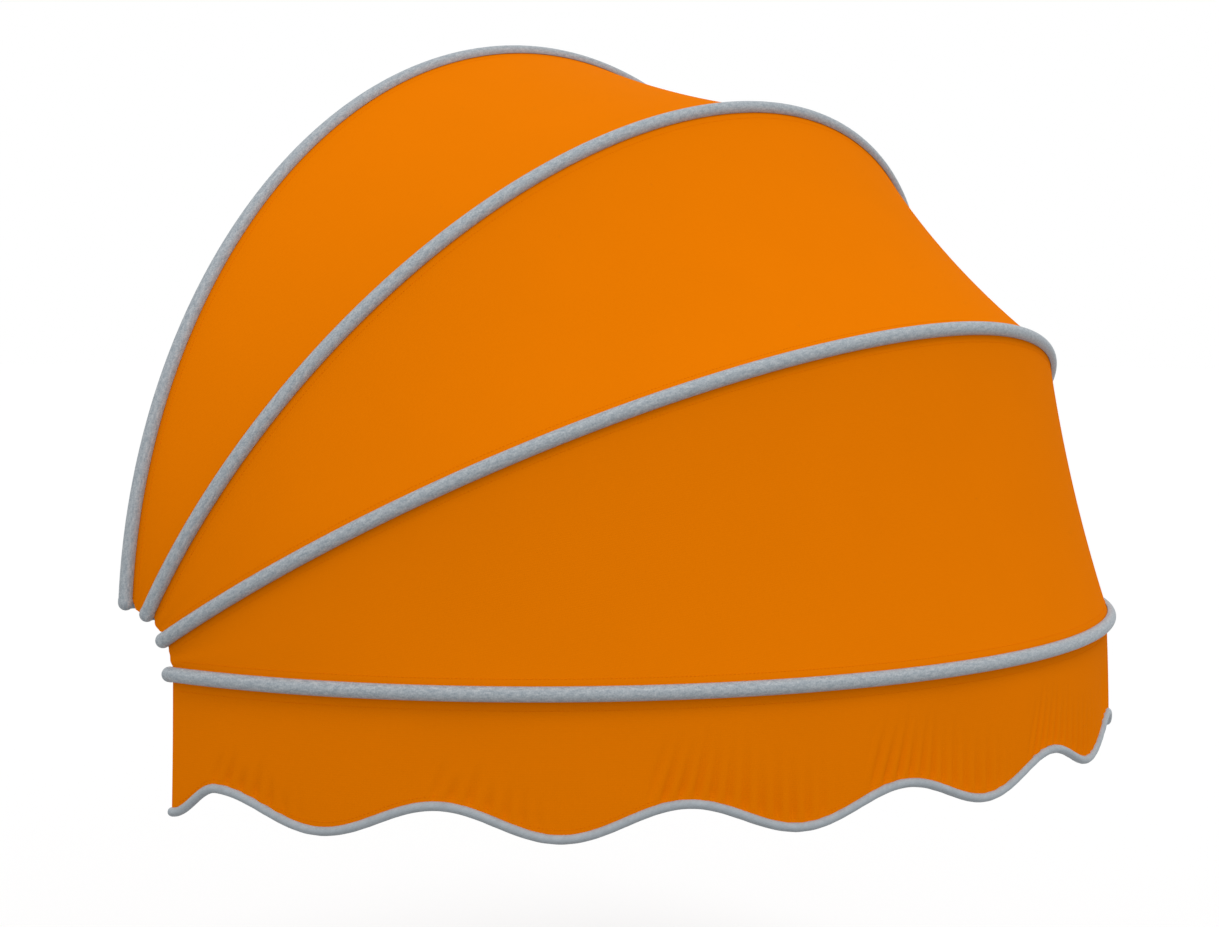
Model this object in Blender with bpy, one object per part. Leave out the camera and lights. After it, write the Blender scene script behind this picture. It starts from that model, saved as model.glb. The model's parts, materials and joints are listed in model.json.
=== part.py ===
"""A round folding canopy awning for a window, modelled open, with its frame and without the wall.

Metres, +Z up. +Y points into the wall, so the canopy stands out towards -Y. The origin is on the
wall, on the back face of the top wall clip, straight below the wall hoop's highest point.

Four bent tubes fan out from the wall at 0, 30, 60 and 90 degrees. Each moving hoop is hinged at
both lower corners on the end link of the hoop before it.
"""

import math

import bmesh
import bpy
import numpy as np
from mathutils import Matrix, Vector

# The hoops' shape: half an ellipse whose middle lies a little outside the fan's axis
HALF_WIDTH = 0.750
HOOP_RISE = 0.732
HOOP_OFFSET = 0.0235
END_REACH = 0.073
FAN_STEP = math.radians(30)
HOOP_NAMES = ("wall_hoop", "hoop_2", "hoop_3", "front_hoop")
WALL_HOOP = 0
FRONT_HOOP = len(HOOP_NAMES) - 1
HOOP_STEPS = 28

# The hoops' tube: a drawn profile with a bore and grooves for the cloth's beaded edges
TUBE_RADIUS = 0.0082
BORE_RADIUS = 0.0036
GROOVE_WIDTH = 0.0026
GROOVE_DEPTH = 0.0031
GROOVE_TILT = math.radians(28)
TUBE_SIDES = 12
BORE_SIDES = 6

# How the frame stands off the wall
WALL_GAP = 0.014
CLIP_DROP = 0.022

# Cloth
CLOTH = 0.0010
PANEL_NAMES = ("upper_panel", "middle_panel", "front_panel")
PANEL_SAGS = (0.013, 0.018, 0.010)
PANEL_ROWS = 4
PANEL_END_GAP = 0.001
PANEL_TABS = (0.0055, 0.0020, 0.0)
VALANCE_CREST = 0.1185
VALANCE_TROUGH = 0.152
VALANCE_ROWS = 2
SCALLOPS = 8
SCALLOP_ARC = math.radians(20.25)
VALANCE_STEPS_PER_BEND = 2
EDGING_RADIUS = 0.0050
EDGING_SIDES = 5
EDGING_SLIT = 0.0022

# End links and corner brackets
PLATE = 0.0050
ARM_WIDTH = 0.0120
EYE_RADIUS = 0.0080
LUG_ROOM = 0.0016
PLUG_LENGTH = 0.030
WASHER = 0.0008
DOME_RINGS = 5
HALF_ROUND = 7
WEB_SHARE = 0.8
FLANGE_WIDTH = 0.046
FLANGE_LENGTH = 0.056
FLANGE_PLATE = 0.0040

# Wall clips
CLIP_ANGLES = {"top": 0.0, "left": math.radians(-52), "right": math.radians(52)}
CLIP_WIDTH = 0.030
CLIP_PLATE = 0.0040
CLIP_BELOW = 0.022
CLIP_SCREW_BELOW = 0.013
CRADLE_WIDTH = 0.018
CRADLE_FRONT = 0.005
CLIP_TOP_BELOW = 0.0045

# Screws and bolts
BOLT_RADIUS = 0.0030
BOLT_HEAD_RADIUS = 0.0056
BOLT_HEAD = 0.0030
WALL_SCREW_RADIUS = 0.0024
WALL_SCREW_HEAD_RADIUS = 0.0047
WALL_SCREW_HEAD = 0.0026
WALL_SCREW_REACH = 0.025
TUBE_SCREW_RADIUS = 0.0016
TUBE_SCREW_HEAD_RADIUS = 0.0028
TUBE_SCREW_HEAD = 0.0014
TUBE_SCREW_PLACE = 0.018
CLAMP_SCREW_RADIUS = 0.0019
CLAMP_SCREW_HEAD_RADIUS = 0.0036
CLAMP_SCREW_HEAD = 0.0022
CLAMP_SCREW_BITE = 0.6
HEAD_CROWN = 0.6
SCREW_SIDES = 8
WASHER_SIDES = 12

# Clearance between pieces that touch
GAP = 0.0003

# Edges that turn more than this are shaded sharp
SHARP_ANGLE = math.radians(40)

# Angles closer than this are taken as equal
SAME_ANGLE = 1e-6

# Worked out from the sizes above
FAN_Y = -WALL_GAP
FAN_Z = CLIP_DROP - HOOP_OFFSET - HOOP_RISE
PHI_END = math.acos((END_REACH - HOOP_OFFSET) / HOOP_RISE)
BEND = 2 * PHI_END / HOOP_STEPS
PIVOT_X = HALF_WIDTH * math.sin(PHI_END)
LUG_OUTER = PIVOT_X - TUBE_RADIUS - LUG_ROOM
LUG_INNER = LUG_OUTER - PLATE
ARM_OUTER = LUG_INNER - WASHER - 2 * GAP
ARM_INNER = ARM_OUTER - PLATE
CLOTH_MOUTH = TUBE_RADIUS + CLOTH
VALANCE_MIDDLE = (VALANCE_TROUGH + VALANCE_CREST) / 2
VALANCE_WAVE = (VALANCE_TROUGH - VALANCE_CREST) / 2


def clear_scene():
    for ob in list(bpy.data.objects):
        bpy.data.objects.remove(ob, do_unlink=True)


def material(name, colour, roughness, metallic):
    made = bpy.data.materials.new(name)
    made.use_nodes = True
    shader = made.node_tree.nodes["Principled BSDF"]
    shader.inputs["Base Color"].default_value = (*colour, 1)
    shader.inputs["Roughness"].default_value = roughness
    shader.inputs["Metallic"].default_value = metallic
    return made


FINISHES = {
    "tube": ((0.42, 0.45, 0.49), 0.38, 0.7),
    "cloth": ((0.80, 0.20, 0.0), 0.85, 0.0),
    "edging": ((0.42, 0.45, 0.49), 0.6, 0.0),
    "casting": ((0.36, 0.38, 0.41), 0.5, 0.6),
    "steel": ((0.55, 0.55, 0.56), 0.35, 1.0),
    "nylon": ((0.75, 0.75, 0.72), 0.6, 0.0),
}


def add_object(name, bm, finish):
    """Turn a bmesh into a named object with its own material."""
    bmesh.ops.recalc_face_normals(bm, faces=bm.faces)
    mesh = bpy.data.meshes.new(name)
    bm.to_mesh(mesh)
    bm.free()
    mesh.shade_smooth()
    mesh.set_sharp_from_angle(angle=SHARP_ANGLE)
    ob = bpy.data.objects.new(name, mesh)
    bpy.context.scene.collection.objects.link(ob)
    mesh.materials.append(material(name, *FINISHES[finish]))
    return ob


def apply_modifiers(ob):
    """Bake an object's modifiers into its mesh."""
    graph = bpy.context.evaluated_depsgraph_get()
    mesh = bpy.data.meshes.new_from_object(ob.evaluated_get(graph))
    ob.modifiers.clear()
    ob.data = mesh


def combine(ob, others, operation):
    """Join or cut an object with others, which are used up."""
    for other in others:
        step = ob.modifiers.new(operation.lower(), "BOOLEAN")
        step.operation = operation
        step.solver = "EXACT"
        step.object = other
        other.hide_render = True
        other.display_type = "WIRE"
    bpy.context.view_layer.update()
    apply_modifiers(ob)
    for other in others:
        bpy.data.objects.remove(other, do_unlink=True)
    return ob


# Frames along a hoop

def hoop_angle(step):
    """How far hoop number step leans out from the wall."""
    return step * FAN_STEP


def place(x, reach, angle):
    """The point at a distance from the fan's axis, in a plane that leans out by an angle."""
    return Vector((x, FAN_Y - reach * math.sin(angle), FAN_Z + reach * math.cos(angle)))


def plane_normal(angle):
    """The direction in which a hoop at this angle moves as it opens."""
    return Vector((0, -math.cos(angle), -math.sin(angle)))


def hoop_reach(phi):
    return HOOP_OFFSET + HOOP_RISE * math.cos(phi)


def hoop_point(phi, angle):
    return place(HALF_WIDTH * math.sin(phi), hoop_reach(phi), angle)


def hoop_tangent(phi, angle):
    """Along the tube, towards growing phi; past the last bend it is the last straight's own."""
    last_bend = PHI_END - BEND
    if abs(phi) > last_bend + SAME_ANGLE:
        phi = math.copysign((PHI_END + last_bend) / 2, phi)
    across = HALF_WIDTH * math.cos(phi)
    along = -HOOP_RISE * math.sin(phi)
    return Vector((across, -along * math.sin(angle), along * math.cos(angle))).normalized()


def hoop_outward(phi, angle):
    """In the hoop's plane, square to the tube, away from the hoop's middle."""
    return plane_normal(angle).cross(hoop_tangent(phi, angle)).normalized()


def groove_direction(phi, angle, side):
    """Where a groove opens: side 1 towards the next hoop, -1 towards the one before."""
    out = hoop_outward(phi, angle)
    return side * math.cos(GROOVE_TILT) * plane_normal(angle) - math.sin(GROOVE_TILT) * out


def phi_range(steps, end=PHI_END):
    return [end * (2 * i / steps - 1) for i in range(steps + 1)]


def on_straights(phi, spot):
    """The point at phi on the straight stretches between the tube's bends."""
    bends_past = (phi + PHI_END) / BEND
    bend = max(0, min(int(bends_past), HOOP_STEPS - 1))
    low = spot(bend * BEND - PHI_END)
    high = spot((bend + 1) * BEND - PHI_END)
    return low.lerp(high, bends_past - bend)


def tube_point(phi, angle):
    """The middle of the bent tube at phi."""
    return on_straights(phi, lambda bend: hoop_point(bend, angle))


# Hollow tube with grooves

def groove_corners(centre):
    """A groove's four corners in the tube's section, from lip to lip."""
    lip = math.asin(GROOVE_WIDTH / 2 / TUBE_RADIUS)
    floor_radius = TUBE_RADIUS - GROOVE_DEPTH
    floor = math.asin(GROOVE_WIDTH / 2 / floor_radius)
    return [
        (TUBE_RADIUS, centre - lip),
        (floor_radius, centre - floor),
        (floor_radius, centre + floor),
        (TUBE_RADIUS, centre + lip),
    ]


def tube_section(sides):
    """The tube's outline as (radius, angle), where angle 0 is outward and 90 degrees opens."""
    centres = sorted(side * (math.pi / 2 + GROOVE_TILT) for side in sides)
    lip = math.asin(GROOVE_WIDTH / 2 / TUBE_RADIUS)
    outline = []
    for here, after in zip(centres, centres[1:] + [centres[0] + 2 * math.pi]):
        outline += groove_corners(here)
        start = here + lip
        sweep = after - lip - start
        count = max(2, round(TUBE_SIDES * sweep / (2 * math.pi)))
        outline += [(TUBE_RADIUS, start + sweep * i / count) for i in range(1, count)]
    return outline


def sweep_rings(section, phis, angle):
    """World points of a section carried along a hoop."""
    rings = []
    for phi in phis:
        centre = tube_point(phi, angle)
        out = hoop_outward(phi, angle)
        normal = plane_normal(angle)
        ring = [centre + r * (math.cos(a) * out + math.sin(a) * normal) for r, a in section]
        rings.append(ring)
    return rings


def skin(bm, rings):
    """Join rings of verts with faces, each ring closed on itself."""
    made = [[bm.verts.new(p) for p in ring] for ring in rings]
    for low, high in zip(made, made[1:]):
        for i in range(len(low)):
            j = (i + 1) % len(low)
            bm.faces.new((low[i], low[j], high[j], high[i]))
    return made


def ring_edges(bm, ring):
    return [bm.edges.get((ring[i], ring[(i + 1) % len(ring)])) for i in range(len(ring))]


def close_between(bm, outer, inner):
    """Fill the flat end between an outline and the bore inside it."""
    edges = ring_edges(bm, outer) + ring_edges(bm, inner)
    bmesh.ops.triangle_fill(bm, edges=edges, use_beauty=True)


def swept_rod(name, radius, phis, angle):
    section = [(radius, 2 * math.pi * (i + 0.5) / TUBE_SIDES) for i in range(TUBE_SIDES)]
    bm = bmesh.new()
    made = skin(bm, sweep_rings(section, phis, angle))
    bm.faces.new(made[0])
    bm.faces.new(made[-1])
    return add_object(name, bm, "tube")


def hoop_tube(step):
    """One bent tube with its bore and its grooves."""
    angle = hoop_angle(step)
    sides = (1,) if step == WALL_HOOP else (-1, 1)
    phis = phi_range(HOOP_STEPS)
    bore = [(BORE_RADIUS, 2 * math.pi * i / BORE_SIDES) for i in range(BORE_SIDES)]
    bm = bmesh.new()
    outer = skin(bm, sweep_rings(tube_section(sides), phis, angle))
    inner = skin(bm, sweep_rings(bore, phis, angle))
    for end in (0, -1):
        close_between(bm, outer[end], inner[end])
    return add_object(HOOP_NAMES[step], bm, "tube")


# Turned pieces, from (distance along the axis, radius) profiles

def turned(name, profile, origin, axis, finish, sides=SCREW_SIDES):
    """A solid turned about an axis; a profile that starts and ends at radius 0 is closed."""
    turn = axis.to_track_quat("Z", "Y").to_matrix()
    bm = bmesh.new()
    rings = []
    for along, radius in profile:
        if radius == 0:
            rings.append([bm.verts.new(origin + turn @ Vector((0, 0, along)))])
            continue
        ring = []
        for i in range(sides):
            a = 2 * math.pi * (i + 0.5) / sides
            spot = Vector((radius * math.cos(a), radius * math.sin(a), along))
            ring.append(bm.verts.new(origin + turn @ spot))
        rings.append(ring)
    for low, high in zip(rings, rings[1:]):
        for i in range(sides):
            j = (i + 1) % sides
            corners = [low[i % len(low)], low[j % len(low)], high[j % len(high)], high[i % len(high)]]
            bm.faces.new(list(dict.fromkeys(corners)))
    return add_object(name, bm, finish)


def screw_profile(head_radius, head, radius, length):
    """A low round head above 0 and a shank below it."""
    crown = head_radius * HEAD_CROWN
    return [(head, 0), (head, crown), (0, head_radius), (0, radius), (-length, radius), (-length, 0)]


def rod(name, radius, origin, axis, length, finish="casting", sides=SCREW_SIDES):
    profile = [(length, 0), (length, radius), (0, radius), (0, 0)]
    return turned(name, profile, origin, axis, finish, sides)


# Plates that lie square to X

def plate(name, outline, x_low, x_high):
    """A flat plate between two X values, from an outline of (y, z) points."""
    bm = bmesh.new()
    low = [bm.verts.new((x_low, y, z)) for y, z in outline]
    high = [bm.verts.new((x_high, y, z)) for y, z in outline]
    bm.faces.new(low)
    bm.faces.new(list(reversed(high)))
    for i in range(len(low)):
        j = (i + 1) % len(low)
        bm.faces.new((low[i], high[i], high[j], low[j]))
    return add_object(name, bm, "casting")


def bar_outline(start, end, start_radius, end_radius):
    """The outline of a bar with round ends, as (y, z) points."""
    along = Vector(end) - Vector(start)
    heading = math.atan2(along.y, along.x)
    outline = []
    for centre, radius, turn in ((end, end_radius, -math.pi / 2), (start, start_radius, math.pi / 2)):
        for i in range(HALF_ROUND + 1):
            a = heading + turn + math.pi * i / HALF_ROUND
            outline.append((centre[0] + radius * math.cos(a), centre[1] + radius * math.sin(a)))
    return outline


def disc_outline(centre, radius):
    """A round outline, as (y, z) points."""
    angles = [math.pi * i / HALF_ROUND for i in range(2 * HALF_ROUND)]
    return [(centre[0] + radius * math.cos(a), centre[1] + radius * math.sin(a)) for a in angles]


def pivot_yz(step):
    """Where hoop number step turns, as (y, z)."""
    spot = place(0, END_REACH, hoop_angle(step))
    return (spot.y, spot.z)


def side_pair(side, a, b):
    """Two distances from the middle as ordered X values on one side."""
    return sorted((side * a, side * b))


def round_end(name, step, side):
    """A tube's domed end cap with the plug that sits in its bore."""
    angle = hoop_angle(step)
    phi = side * PHI_END
    outward = hoop_tangent(phi, angle) * side
    origin = hoop_point(phi, angle) + outward * GAP
    profile = [(-PLUG_LENGTH, 0), (-PLUG_LENGTH, BORE_RADIUS - 2 * GAP)]
    profile += [(0, BORE_RADIUS - 2 * GAP), (0, TUBE_RADIUS)]
    for i in range(1, DOME_RINGS):
        a = math.pi / 2 * i / DOME_RINGS
        profile.append((TUBE_RADIUS * math.sin(a), TUBE_RADIUS * math.cos(a)))
    profile.append((TUBE_RADIUS, 0))
    return turned(name, profile, origin, outward, "casting", TUBE_SIDES)


def lug(step, side):
    """The disc beside a tube's end that the hoop turns on."""
    low, high = side_pair(side, LUG_INNER, LUG_OUTER)
    return plate("lug", disc_outline(pivot_yz(step), EYE_RADIUS), low, high)


def neck(step, side, inner):
    """Joins what lies inboard of the tube to its round end, just past the tube's own end."""
    spot = pivot_yz(step)
    radius = EYE_RADIUS - GAP
    away = hoop_angle(step) - math.pi / 2
    lean = hoop_tangent(PHI_END, 0)
    below_tube = TUBE_RADIUS * abs(lean.x / lean.z) + 2 * GAP
    sweep = math.acos(below_tube / radius)
    outline = []
    for i in range(HALF_ROUND + 1):
        a = away + sweep * (2 * i / HALF_ROUND - 1)
        outline.append((spot[0] + radius * math.cos(a), spot[1] + radius * math.sin(a)))
    low, high = side_pair(side, inner, PIVOT_X - TUBE_RADIUS / 2)
    return plate("neck", outline, low, high)


def bolt_hole(step, side, inner, outer):
    """The cutter for a pivot bolt's hole, between two distances from the middle."""
    origin = Vector((side * inner, *pivot_yz(step)))
    return rod("hole", BOLT_RADIUS + GAP, origin, Vector((side, 0, 0)), outer - inner)


def screw_hole(spot, depth):
    """The cutter for a wall screw's hole through a plate whose front is at spot."""
    start = spot - Vector((0, GAP, 0))
    return rod("hole", WALL_SCREW_RADIUS + GAP, start, Vector((0, 1, 0)), depth + 2 * GAP)


def tube_screw_spot(step, side):
    """Where the screw that holds a plug passes through the tube, and which way it points."""
    angle = hoop_angle(step)
    phi = side * (PHI_END - TUBE_SCREW_PLACE / HOOP_RISE)
    inward = -hoop_outward(phi, angle)
    return tube_point(phi, angle), inward


def tube_screw_hole(step, side):
    centre, inward = tube_screw_spot(step, side)
    return rod("hole", TUBE_SCREW_RADIUS + GAP, centre, inward, 2 * TUBE_RADIUS)


def end_link(step, side, label):
    """The round tube end, its lug and, on all but the front hoop, the arm to the next pivot."""
    body = round_end(f"link_{HOOP_NAMES[step]}_{label}", step, side)
    parts = [lug(step, side), neck(step, side, LUG_INNER + GAP)]
    if step + 1 < len(HOOP_NAMES):
        here = Vector(pivot_yz(step))
        there = Vector(pivot_yz(step + 1))
        half = ARM_WIDTH / 2
        clear_of_eye = (EYE_RADIUS + half + 2 * GAP) / (there - here).length
        step_start = here.lerp(there, clear_of_eye)
        step_end = here.lerp(there, 1 - clear_of_eye)
        low, high = side_pair(side, LUG_INNER + GAP, LUG_OUTER - GAP)
        parts.append(plate("arm", bar_outline(here, step_end, half, half), low, high))
        low, high = side_pair(side, ARM_INNER + GAP, LUG_INNER + PLATE / 2)
        slim = half - GAP
        parts.append(plate("joggle", bar_outline(step_start, step_end, slim, slim), low, high))
        low, high = side_pair(side, ARM_INNER, ARM_OUTER)
        parts.append(plate("eye", bar_outline(step_start, there, half, EYE_RADIUS), low, high))
    combine(body, parts, "UNION")
    holes = [bolt_hole(step, side, LUG_INNER - GAP, LUG_OUTER + GAP)]
    holes.append(tube_screw_hole(step, side))
    if step + 1 < len(HOOP_NAMES):
        holes.append(bolt_hole(step + 1, side, ARM_INNER - GAP, ARM_OUTER + GAP))
    return combine(body, holes, "DIFFERENCE")


def flange_box(side, z_low, z_high):
    low, high = side_pair(side, ARM_OUTER - GAP, ARM_OUTER - FLANGE_WIDTH)
    outline = [(-FLANGE_PLATE, z_low), (0, z_low), (0, z_high), (-FLANGE_PLATE, z_high)]
    return plate("flange", outline, low, high)


def flange_screw_spots(side):
    """The wall screws of a corner bracket, as points on the front of its flange."""
    x = side * (ARM_INNER - (FLANGE_WIDTH - PLATE) / 2)
    middle = FAN_Z + END_REACH + FLANGE_LENGTH / 2
    spread = FLANGE_LENGTH / 4
    return [Vector((x, -FLANGE_PLATE, middle + up * spread)) for up in (-1, 1)]


def web_outline():
    """The bracket's side plate: from the wall out to a round eye at hoop 2's pivot."""
    here = pivot_yz(WALL_HOOP)
    there = pivot_yz(WALL_HOOP + 1)
    inside_flange = -FLANGE_PLATE / 2
    outline = [(inside_flange, here[1] + FLANGE_LENGTH * WEB_SHARE)]
    for i in range(HALF_ROUND + 1):
        a = math.pi / 2 + math.pi * i / HALF_ROUND
        outline.append((there[0] + EYE_RADIUS * math.cos(a), there[1] + EYE_RADIUS * math.sin(a)))
    outline.append((inside_flange, here[1] - ARM_WIDTH / 2))
    return outline


def corner_bracket(side, label):
    """Closes the wall hoop's end, carries hoop 2's pivot and is screwed to the wall."""
    body = round_end(f"corner_bracket_{label}", WALL_HOOP, side)
    here = pivot_yz(WALL_HOOP)
    low, high = side_pair(side, ARM_INNER, ARM_OUTER)
    parts = [plate("web", web_outline(), low, high)]
    low, high = side_pair(side, ARM_OUTER - PLATE / 2, LUG_OUTER - GAP)
    parts.append(plate("boss", disc_outline(here, EYE_RADIUS), low, high))
    parts.append(neck(WALL_HOOP, side, LUG_INNER))
    parts.append(flange_box(side, here[1], here[1] + FLANGE_LENGTH))
    combine(body, parts, "UNION")
    holes = [bolt_hole(WALL_HOOP + 1, side, ARM_INNER - GAP, ARM_OUTER + GAP)]
    holes.append(tube_screw_hole(WALL_HOOP, side))
    holes += [screw_hole(spot, FLANGE_PLATE) for spot in flange_screw_spots(side)]
    return combine(body, holes, "DIFFERENCE")


def pivot_bolt(step, side, label):
    """A shoulder bolt with its head inboard, screwed into the lug."""
    spot = pivot_yz(step)
    origin = Vector((side * (ARM_INNER - GAP), *spot))
    length = LUG_OUTER - ARM_INNER
    profile = screw_profile(BOLT_HEAD_RADIUS, BOLT_HEAD, BOLT_RADIUS, length)
    name = f"pivot_bolt_{HOOP_NAMES[step]}_{label}"
    return turned(name, profile, origin, Vector((-side, 0, 0)), "steel")


def pivot_washer(step, side, label):
    """A nylon washer between the arm's eye and the lug."""
    spot = pivot_yz(step)
    origin = Vector((side * (ARM_OUTER + GAP), *spot))
    rim = EYE_RADIUS - GAP
    name = f"pivot_washer_{HOOP_NAMES[step]}_{label}"
    ob = rod(name, rim, origin, Vector((side, 0, 0)), WASHER, "nylon", WASHER_SIDES)
    hole = bolt_hole(step, side, ARM_OUTER, LUG_INNER)
    return combine(ob, [hole], "DIFFERENCE")


def tube_screw(step, side, label):
    """The small screw that holds a plug in its tube, from the inner side."""
    centre, inward = tube_screw_spot(step, side)
    origin = centre + inward * (TUBE_RADIUS + GAP)
    length = TUBE_RADIUS - GAP
    profile = screw_profile(TUBE_SCREW_HEAD_RADIUS, TUBE_SCREW_HEAD, TUBE_SCREW_RADIUS, length)
    name = f"tube_screw_{HOOP_NAMES[step]}_{label}"
    return turned(name, profile, origin, inward, "steel")


# Wall clips

def clip_frame(phi):
    """The clip's own frame: X along the hoop, Y into the wall, Z away from the hoop's middle."""
    origin = tube_point(phi, 0)
    along = hoop_tangent(phi, 0)
    out = hoop_outward(phi, 0)
    rows = Matrix((along, Vector((0, 1, 0)), out)).transposed()
    return Matrix.Translation(origin) @ rows.to_4x4()


def clip_piece(name, box, frame):
    (x0, x1), (y0, y1), (z0, z1) = box
    bm = bmesh.new()
    bmesh.ops.create_cube(bm, size=1)
    middle = Vector(((x0 + x1) / 2, (y0 + y1) / 2, (z0 + z1) / 2))
    size = Matrix.Diagonal((x1 - x0, y1 - y0, z1 - z0, 1))
    bm.transform(frame @ Matrix.Translation(middle) @ size)
    return add_object(name, bm, "casting")


def clip_screw_spot(phi):
    """The clip's wall screw, as a point on the front of its plate."""
    return clip_frame(phi) @ Vector((0, WALL_GAP - CLIP_PLATE, -CLIP_DROP - CLIP_SCREW_BELOW))


def wall_clip(label, phi):
    """A clip behind the wall hoop: a plate on the wall and a cradle that hugs the tube."""
    frame = clip_frame(phi)
    half = CLIP_WIDTH / 2
    narrow = CRADLE_WIDTH / 2
    bottom = -CLIP_DROP - CLIP_BELOW
    top = -CLIP_TOP_BELOW
    cradle_low = -TUBE_RADIUS - 2 * CLIP_PLATE
    plate_box = ((-half, half), (WALL_GAP - CLIP_PLATE, WALL_GAP), (bottom, top))
    cradle_box = ((-narrow, narrow), (-CRADLE_FRONT, WALL_GAP - CLIP_PLATE / 2), (cradle_low, top - GAP))
    body = clip_piece(f"wall_clip_{label}", plate_box, frame)
    cradle = clip_piece("cradle", cradle_box, frame)
    combine(body, [cradle], "UNION")
    seat_radius = (TUBE_RADIUS + GAP) / math.cos(math.pi / TUBE_SIDES)
    seat_phis = [phi - BEND, phi, phi + BEND]
    cuts = [swept_rod("seat", seat_radius, seat_phis, 0), clamp_hole(phi)]
    cuts.append(screw_hole(clip_screw_spot(phi), CLIP_PLATE))
    return combine(body, cuts, "DIFFERENCE")


def clamp_spot(phi):
    """Where the clip's clamp screw starts, and which way it goes into the tube."""
    frame = clip_frame(phi)
    out = frame.to_3x3() @ Vector((0, 0, 1))
    return frame @ Vector((0, 0, -TUBE_RADIUS - 2 * CLIP_PLATE)), out


def clamp_hole(phi):
    start, out = clamp_spot(phi)
    length = 2 * CLIP_PLATE + TUBE_RADIUS
    return rod("hole", CLAMP_SCREW_RADIUS + GAP, start - out * GAP, out, length)


def clamp_screw(label, phi):
    start, out = clamp_spot(phi)
    length = 2 * CLIP_PLATE + TUBE_RADIUS * CLAMP_SCREW_BITE
    profile = screw_profile(CLAMP_SCREW_HEAD_RADIUS, CLAMP_SCREW_HEAD, CLAMP_SCREW_RADIUS, length)
    return turned(f"clamp_screw_{label}", profile, start - out * GAP, -out, "steel")


def wall_screw(label, spot):
    """A wall screw whose head is on a plate's front and whose shank goes into the wall."""
    length = WALL_SCREW_REACH - spot.y
    profile = screw_profile(WALL_SCREW_HEAD_RADIUS, WALL_SCREW_HEAD, WALL_SCREW_RADIUS, length)
    origin = spot - Vector((0, GAP, 0))
    return turned(f"wall_screw_{label}", profile, origin, Vector((0, -1, 0)), "steel")


# Cloth

def groove_point(phi, step, side, reach):
    """A point of the cloth at hoop number step, on the line in which the groove opens."""
    angle = hoop_angle(step)
    return hoop_point(phi, angle) + groove_direction(phi, angle, side) * reach


def chord_point(phi, step, share):
    """A point of the panel after hoop number step, sagging inwards between the two grooves."""
    middle = (hoop_angle(step) + hoop_angle(step + 1)) / 2
    low = groove_point(phi, step, 1, CLOTH_MOUTH)
    high = groove_point(phi, step + 1, -1, CLOTH_MOUTH)
    inward = -(place(0, 1, middle) - place(0, 0, middle))
    sag = PANEL_SAGS[step] * hoop_reach(phi) * 4 * share * (1 - share)
    return low.lerp(high, share) + inward * sag


def cloth_solid(name, rows):
    """A sheet of even thickness from rows of points, each row running along the cloth."""
    grid = np.array([[list(p) for p in row] for row in rows])
    down = np.gradient(grid, axis=0)
    along = np.gradient(grid, axis=1)
    normal = np.cross(down, along)
    normal /= np.linalg.norm(normal, axis=2, keepdims=True)
    bm = bmesh.new()
    faces = []
    for side in (1, -1):
        spots = grid + normal * (side * CLOTH / 2)
        faces.append([[bm.verts.new(p) for p in row] for row in spots])
    count, width = grid.shape[:2]
    for layer in faces:
        for i in range(count - 1):
            for j in range(width - 1):
                bm.faces.new((layer[i][j], layer[i][j + 1], layer[i + 1][j + 1], layer[i + 1][j]))
    top, bottom = faces
    border = [(0, j) for j in range(width)] + [(i, width - 1) for i in range(1, count)]
    border += [(count - 1, j) for j in range(width - 2, -1, -1)]
    border += [(i, 0) for i in range(count - 2, 0, -1)]
    for here, after in zip(border, border[1:] + border[:1]):
        a, b = top[here[0]][here[1]], top[after[0]][after[1]]
        c, d = bottom[after[0]][after[1]], bottom[here[0]][here[1]]
        bm.faces.new((a, b, c, d))
    return add_object(name, bm, "cloth")


def cloth_phis(steps_per_bend, end_gap=PANEL_END_GAP):
    """Places along a hoop: the cloth's own two ends and each of the hoop's bends between them."""
    end = PHI_END - end_gap / HOOP_RISE
    return [-end, *phi_range(HOOP_STEPS * steps_per_bend)[1:-1], end]


def groove_rows(phis, step, side):
    """Two rows of cloth points at a hoop: at the groove's floor and just outside its mouth."""
    rows = []
    for reach in (TUBE_RADIUS - GROOVE_DEPTH + GAP, CLOTH_MOUTH):
        def spot(phi):
            return groove_point(phi, step, side, reach)

        rows.append([on_straights(phi, spot) for phi in phis])
    return rows


def panel(step):
    """The cloth between two hoops: held in their grooves, with a tab over the arms at each end."""
    phis = cloth_phis(1)
    floor, mouth = groove_rows(phis, step, 1)
    rows = [floor, mouth]
    for i in range(1, PANEL_ROWS):
        share = i / PANEL_ROWS
        row_phis = cloth_phis(1, -PANEL_TABS[step])
        rows.append([chord_point(phi, step, share) for phi in row_phis])
    floor, mouth = groove_rows(phis, step + 1, -1)
    rows += [mouth, floor]
    return cloth_solid(PANEL_NAMES[step], rows)


def valance_drop(phi):
    """How far the wavy edge hangs below the front hoop: a crest in the middle, troughs at the ends."""
    edge = SCALLOPS / 2 * SCALLOP_ARC
    end = PHI_END - PANEL_END_GAP / HOOP_RISE
    turn = 2 * math.pi * phi / SCALLOP_ARC
    if abs(phi) > edge:
        turn = math.pi * (abs(phi) - edge) / (end - edge)
    return VALANCE_MIDDLE - VALANCE_WAVE * math.cos(turn)


def valance_edge(phi):
    return hoop_point(phi, hoop_angle(FRONT_HOOP)) - Vector((0, 0, valance_drop(phi)))


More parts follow.
